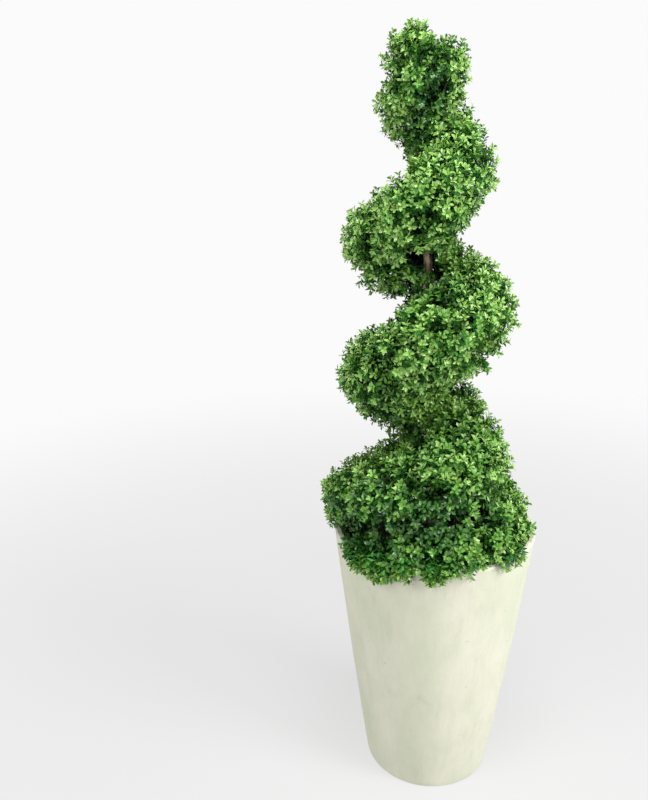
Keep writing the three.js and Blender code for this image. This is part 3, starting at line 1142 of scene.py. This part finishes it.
def lines_mesh(name, paths):
    """Separate lines of points with a girth at each point, as one mesh of edges."""
    points = np.vstack([path for path, _ in paths])
    girths = np.concatenate([girth for _, girth in paths])
    edges, first = [], 0
    for path, _ in paths:
        edges += [(first + i, first + i + 1) for i in range(len(path) - 1)]
        first += len(path)
    return points_mesh(name, points, {"girth": girths}, edges)


limb_points = KDTree(sum(len(path) - 1 for path, _, _ in limbs))
for number, point in enumerate(point for path, _, _ in limbs for point in path[1:]):
    limb_points.insert(point, number)
limb_points.balance()
gaps = np.array([limb_points.find(root)[2] for root in roots])
in_reach = gaps < STEM_AT_MOST
print("sprays too far from any limb, left out:", (~in_reach).sum())
tips, aims, roots, light = tips[in_reach], aims[in_reach], roots[in_reach], light[in_reach]
layer_of, in_fringe = layer_of[in_reach], in_fringe[in_reach]


def stem_path(member):
    """A spray's own stem: from the limb that is nearest, round into its direction, and on to its tip."""
    root, tip = roots[member], tips[member]
    start = np.array(limb_points.find(root - STEM_BACK * aims[member])[0])
    bow = 0.5 * (start + root) + (0, 0, -STEM_SAG * np.linalg.norm(root - start))
    if in_fringe[member]:
        points = [start, bow, root, tip - aims[member] * HANGING * STEM + (0, 0, HANGING_RISE), tip]
    elif layer_of[member] == 0:
        points = [start, bow, root, tip]
    else:
        points = [start, root, tip]
    return np.array(points), np.linspace(STEM_GIRTH, STEM_GIRTH / 2, len(points))


# %% Limbs and stems as pieces
BOUGH_FROM = 24
TWIG_TAN = (0.032, 0.027, 0.016)
TWIG_DARK = (0.009, 0.009, 0.005)
STEM_GREEN = (0.014, 0.045, 0.009)
STEM_ROUGHNESS = 0.6
twig_bark = bark_material("twig_bark", 1.6, TWIG_TAN, TWIG_DARK)
stem_finish = plain_material("green_stem", STEM_GREEN, STEM_ROUGHNESS)
thick = [(path, girth) for path, girth, count in limbs if count > BOUGH_FROM]
thin = [(path, girth) for path, girth, count in limbs if count <= BOUGH_FROM]
for name, paths, sides, relief, finish in (
    ("boughs", thick, 8, 0.0012, twig_bark),
    ("twigs", thin, 5, 0.0005, twig_bark),
    ("spray_stems", [stem_path(member) for member in range(len(tips))], 3, 0.0, stem_finish),
):
    values = {"Sides": sides, "Bark relief": relief, "Material": finish}
    keep_piece(grow_with(limb_tree, lines_mesh(name, paths), name, values), masses)

# %% [markdown]
# ## One leaf and one spray
#
# A leaf is widest past its middle and ends in a point. Four or six triangles hold that outline, with the
# halves folded up from the midrib and the point bent down. A spray carries its leaves in pairs, each pair
# turned on from the last. They stand closer and steeper towards the tip, where they make a small star.
# Several varieties are made, so that no two neighbours match.

# %% One leaf
LEAF_LENGTH = 0.0120
LEAF_WIDTH = 0.0068
OUTLINE = [(0.33, 0.24), (0.48, 0.67)]
FOLD = 0.45
DROOP = 0.16
MIDRIB_BEND = (0.52, 0.1)  # how far along the leaf, and its share of the droop
LEAF_OFF_STEM = 0.0006


def leaf(length, width, fine):
    """Verts and triangles of a leaf along +Y, face up to +Z. A fine leaf also bends along its midrib."""
    droop = DROOP * length if fine else 0
    verts = [(0, 0, 0), (0, length, -droop)]
    for side in (-1, 1):
        verts += [(side * x * width, y * length, FOLD * x * width - droop * y * y) for x, y in OUTLINE]
    if not fine:
        return np.array(verts), [(0, 3, 2), (0, 1, 3), (0, 4, 5), (0, 5, 1)]
    verts.append((0, MIDRIB_BEND[0] * length, -droop * MIDRIB_BEND[1]))
    faces = [(0, 6, 2), (2, 6, 3), (3, 6, 1), (0, 4, 6), (4, 5, 6), (5, 1, 6)]
    return np.array(verts), faces


def set_leaf(verts, height, around, open_angle, roll):
    """Places a leaf on a stem along +Z: at a height, turned around it, and opened away from it."""
    out = np.array((math.cos(around), math.sin(around), 0))
    along = math.cos(open_angle) * np.array((0, 0, 1)) + math.sin(open_angle) * out
    up = math.sin(open_angle) * np.array((0, 0, 1)) - math.cos(open_angle) * out
    across = np.cross(along, up)
    c, s = math.cos(roll), math.sin(roll)
    across, up = c * across + s * up, c * up - s * across
    base = np.array((0, 0, height)) + out * LEAF_OFF_STEM
    return base + verts[:, :1] * across + verts[:, 1:2] * along + verts[:, 2:] * up


# %% One spray
PAIRS = {"full": 7, "sparse": 5}
TIP_PAIRS = 3
PAIR_TURN = math.radians(68)
VARIETIES = 9
LEAFY_LENGTH = 0.72
LEAFY_POWER = 1.25
OPEN_AT_FOOT = math.radians(68)
OPEN_AT_TIP = math.radians(34)
OPEN_POWER = 2.5
SMALLEST_LEAF = 0.72
LARGEST_MORE = 0.36
SWELLING = (0.2, 0.70)
LENGTHS = (0.85, 1.15)
WIDTHS = (0.88, 1.12)
TOP_GAP = 0.0005
PLAY = {"around": 0.16, "open": 0.15, "roll": 0.25, "turn": 0.12}


def spray(kind, fullness):
    """One spray: its stem ends at the origin and points along +Z. Gives the tip leaves, then the rest."""
    draw = np.random.default_rng(SEED * 100 + kind + (VARIETIES if fullness == "sparse" else 0))
    parts = {"tip": ([], []), "rest": ([], [])}
    pairs = PAIRS[fullness]
    turn = draw.uniform(0, math.pi)
    for i in range(pairs):
        share = (i + 0.5) / pairs
        group = "tip" if i >= pairs - TIP_PAIRS else "rest"
        height = -STEM * LEAFY_LENGTH * (1 - share) ** LEAFY_POWER - TOP_GAP
        opened = OPEN_AT_FOOT + (OPEN_AT_TIP - OPEN_AT_FOOT) * share**OPEN_POWER
        size = SMALLEST_LEAF + LARGEST_MORE * math.sin(math.pi * min(1, SWELLING[0] + share * SWELLING[1]))
        for side in (0, 1):
            length = LEAF_LENGTH * size * draw.uniform(*LENGTHS)
            width = LEAF_WIDTH * size * draw.uniform(*WIDTHS)
            verts, faces = leaf(length, width, fine=fullness == "full" and group == "tip")
            around = turn + math.pi * side + draw.normal(0, PLAY["around"])
            tilted = opened + draw.normal(0, PLAY["open"])
            placed = set_leaf(verts, height, around, tilted, draw.normal(0, PLAY["roll"]))
            all_verts, all_faces = parts[group]
            first = len(all_verts)
            all_verts.extend(placed)
            all_faces.extend(tuple(first + v for v in face) for face in faces)
        turn += PAIR_TURN + draw.normal(0, PLAY["turn"])
    return parts


def spray_collections():
    """Collections of the varieties, full and sparse, with tip leaves and other leaves apart."""
    made = {}
    for fullness in PAIRS:
        for group in ("tip", "rest"):
            made[fullness, group] = bpy.data.collections.new(f"{fullness}_{group}")
        for kind in range(VARIETIES):
            for group, (verts, faces) in spray(kind, fullness).items():
                piece = mesh_object(f"variety_{fullness}_{group}_{kind}", verts, faces, smooth=False)
                scene.collection.objects.unlink(piece)
                made[fullness, group].objects.link(piece)
    return made


varieties = spray_collections()

# %% [markdown]
# ## Leaves on every spray
#
# Each spray point carries its direction, its turn, its size and its variety. A tree puts a variety on each
# point. Colours are dealt out by spray: every spray has one of a few shades, and its tip leaves are paler
# than those below them. Each shade's tip leaves and its other leaves become two pieces, each with one
# plain material.
# The shade a spray is dealt is partly chance and partly painted light and shade: the deeper layers, seats that
# little light reaches and some listed places get darker shades as painted shade, other listed places paler
# ones.

# %% The tree that sets the sprays
inputs = {"Varieties": ("Collection", None), "Material": ("Material", None)}
spray_tree, spray_inputs = new_tree("sprays", inputs)
sockets = {"Collection": spray_inputs["Varieties"], "Separate Children": True, "Reset Children": True}
choices = add_node(spray_tree, "GeometryNodeCollectionInfo", sockets)
sockets = {"Vector": named(spray_tree, "aim", "FLOAT_VECTOR")}
pointed = add_node(spray_tree, "FunctionNodeAlignRotationToVector", sockets, axis="Z")
sockets = {"Axis": (0, 0, 1), "Angle": named(spray_tree, "spin")}
spun = add_node(spray_tree, "FunctionNodeAxisAngleToRotation", sockets)
sockets = {"Rotation": pointed.outputs[0], "Rotate By": spun.outputs[0]}
rotation = add_node(spray_tree, "FunctionNodeRotateRotation", sockets, rotation_space="LOCAL")
sockets = {"Points": spray_inputs["Mesh"], "Instance": choices.outputs["Instances"], "Pick Instance": True}
sockets |= {"Instance Index": named(spray_tree, "variety", "INT"), "Rotation": rotation.outputs[0]}
sockets["Scale"] = named(spray_tree, "size")
set_out = add_node(spray_tree, "GeometryNodeInstanceOnPoints", sockets)
end_tree(spray_tree, set_out.outputs[0], spray_inputs["Material"])

# %% The shades
# the deep shade goes mostly to sprays that the painted shade darkens, so its near-black colours partly stand
# for shade
SHADES = {
    "fresh": {"tip": (0.245, 0.46, 0.084), "rest": (0.060, 0.215, 0.031), "share": 0.27},
    "green": {"tip": (0.135, 0.33, 0.040), "rest": (0.021, 0.13, 0.014), "share": 0.33},
    "deep": {"tip": (0.047, 0.16, 0.018), "rest": (0.003, 0.051, 0.007), "share": 0.40},
}
LEAF_ROUGHNESS = {"tip": 0.36, "rest": 0.48}
LEAF_GLOSS = {"tip": 0.8, "rest": 0.15}
# how much darker the shade is painted where little light reaches a seat: painted shade
PAINTED_SHADE_BY_LIGHT = 1.6
FULL_LIGHT = 0.8
CLOUDS_PER_METRE = 11
CLOUD_TONE = 0.45
CHANCE_TONE = 0.35
SIZES = (0.86, 1.14)
SIZE_BY_HEIGHT = (1.06, 0.86)  # at the rim, at the top
# listed places whose sprays are dealt paler shades, as painted light, or darker ones, as painted shade
PAINTED_LIGHT_AND_SHADE = [  # bearing, half, height, span and reach as in the clipping; a change, paler above 0 as painted light, darker below 0 as painted shade
    (-4, 20, 1.495, 0.055, 1.0, -2.4),
    (-40, 40, 1.420, 0.040, 1.0, -1.0),
    (-35, 52, 0.690, 0.090, 1.0, -0.9),
    (15, 38, 0.715, 0.060, 1.0, -0.9),
    (-10, 30, 0.890, 0.030, 1.0, 0.8),
    (-12, 25, 0.925, 0.030, 1.0, 0.6),
    (30, 28, 1.000, 0.050, 1.0, 0.7),
    (-45, 22, 1.310, 0.030, 1.0, 0.8),
    (30, 40, 1.050, 0.060, 1.0, -0.3),
    (81, 45, 1.060, 0.080, 1.0, 0.8),
    (81, 60, 0.900, 0.050, 1.0, 0.6),
    (81, 45, 1.175, 0.040, 1.0, 0.6),
    (81, 60, 1.520, 0.050, 1.0, 0.6),
    (-98, 60, 1.530, 0.120, 1.0, 1.0),
    (-98, 50, 1.250, 0.080, 1.0, 0.7),
    (-112, 60, 0.755, 0.060, 1.0, 1.5),
]

count = len(tips)
cloudy = np.array([noise.noise(Vector(p) * CLOUDS_PER_METRE) for p in tips])
# a spray's tone: cloudy noise and chance are the leaves' own variation; the layer, the light on its seat and
# the listed places add painted light and shade
tone_and_painted_light = CLOUD_TONE * cloudy + rng.normal(0, CHANCE_TONE, count)
tone_and_painted_light += np.array([facts["tone_and_painted_light"] for facts in LAYERS])[layer_of]
tone_and_painted_light += PAINTED_SHADE_BY_LIGHT * np.minimum(light - FULL_LIGHT, 0)
tone_and_painted_light += sum(change * nearness(tips, *where) for *where, change in PAINTED_LIGHT_AND_SHADE)
ranks = np.argsort(np.argsort(-tone_and_painted_light)) / count
limits = np.cumsum([facts["share"] for facts in SHADES.values()])
shade_of = np.searchsorted(limits[:-1], ranks)
spin = rng.uniform(0, 2 * math.pi, count)
size = rng.uniform(*SIZES, count) * np.interp(tips[:, 2], (rim, trunk_tip), SIZE_BY_HEIGHT)
variety = rng.integers(0, VARIETIES, count)

# %% Every leaf
settings = {"aim": aims, "spin": spin, "size": size, "variety": variety}
for number, (shade, facts) in enumerate(SHADES.items()):
    for group in ("tip", "rest"):
        rough, gloss = LEAF_ROUGHNESS[group], LEAF_GLOSS[group]
        finish = plain_material(f"leaf_{shade}_{group}", facts[group], rough, gloss)
        parts = []
        for fullness in PAIRS:
            chosen = (shade_of == number) & ((layer_of == 0) == (fullness == "full"))
            values = {label: of_all[chosen] for label, of_all in settings.items()}
            base = points_mesh("sprays", tips[chosen], values)
            values = {"Varieties": varieties[fullness, group], "Material": finish}
            parts.append(grow_with(spray_tree, base, f"leaves_{shade}_{group}", values))
        with bpy.context.temp_override(active_object=parts[0], selected_editable_objects=parts):
            bpy.ops.object.join()
        keep_piece(parts[0], masses)

# %% Tidy up and finish
for collection in varieties.values():
    for piece in list(collection.objects):
        bpy.data.objects.remove(piece)
    bpy.data.collections.remove(collection)
bpy.data.meshes.remove(skin)
